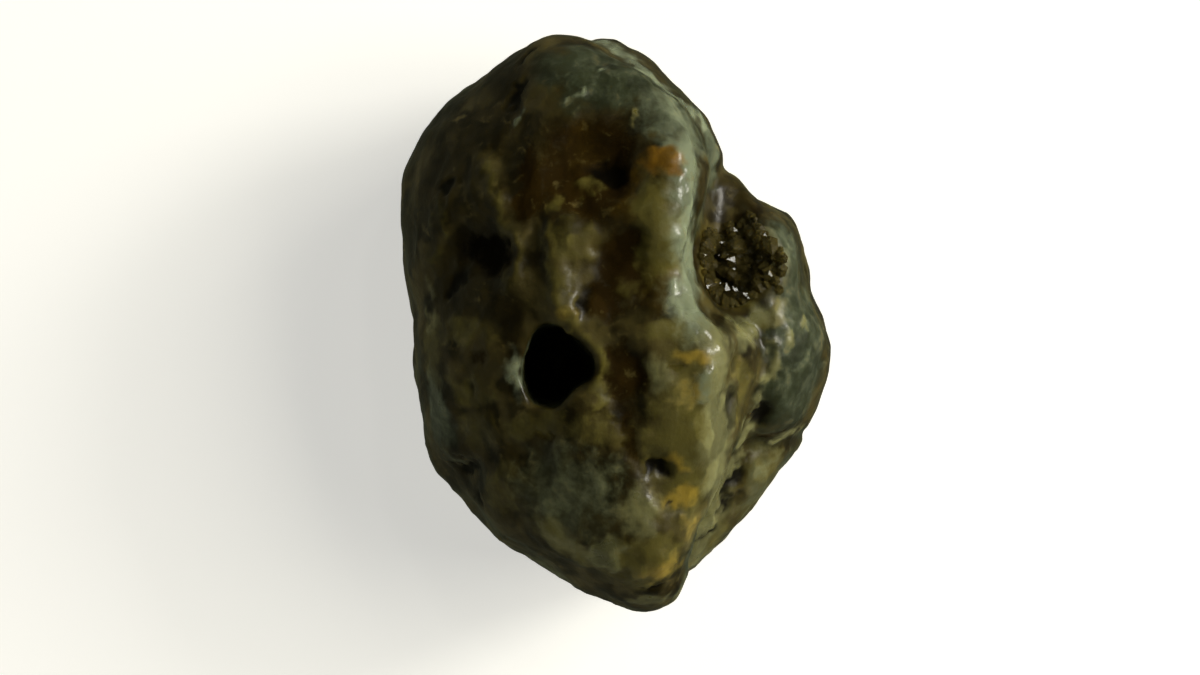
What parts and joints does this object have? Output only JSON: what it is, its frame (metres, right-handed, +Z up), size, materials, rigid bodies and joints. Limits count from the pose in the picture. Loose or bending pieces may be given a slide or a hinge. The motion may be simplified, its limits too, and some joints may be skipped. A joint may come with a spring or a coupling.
{
  "type": "raw agate nodule",
  "caption": "Raw water-worn agate nodule lying on a flat, with a ridged face, a deep hole, and a side hollow lined with a crust of quartz crystals.",
  "frame": {"origin": "on the resting plane, under the middle of the stone's box", "axes": "+Y along the stone's length towards its broad end, +Z up out of its face, +X towards the lobe"},
  "size_m": [0.0458, 0.06, 0.0346],
  "materials": {
    "chalcedony": "waxy, water-worn chalcedony, dark olive brown with grey-green patches and ochre stains",
    "quartz_crystals": "small smoky golden quartz crystals with flat glassy faces"
  },
  "bodies": {
    "root": {"agate": "chalcedony", "druse": "quartz_crystals"}
  },
  "joints": []
}
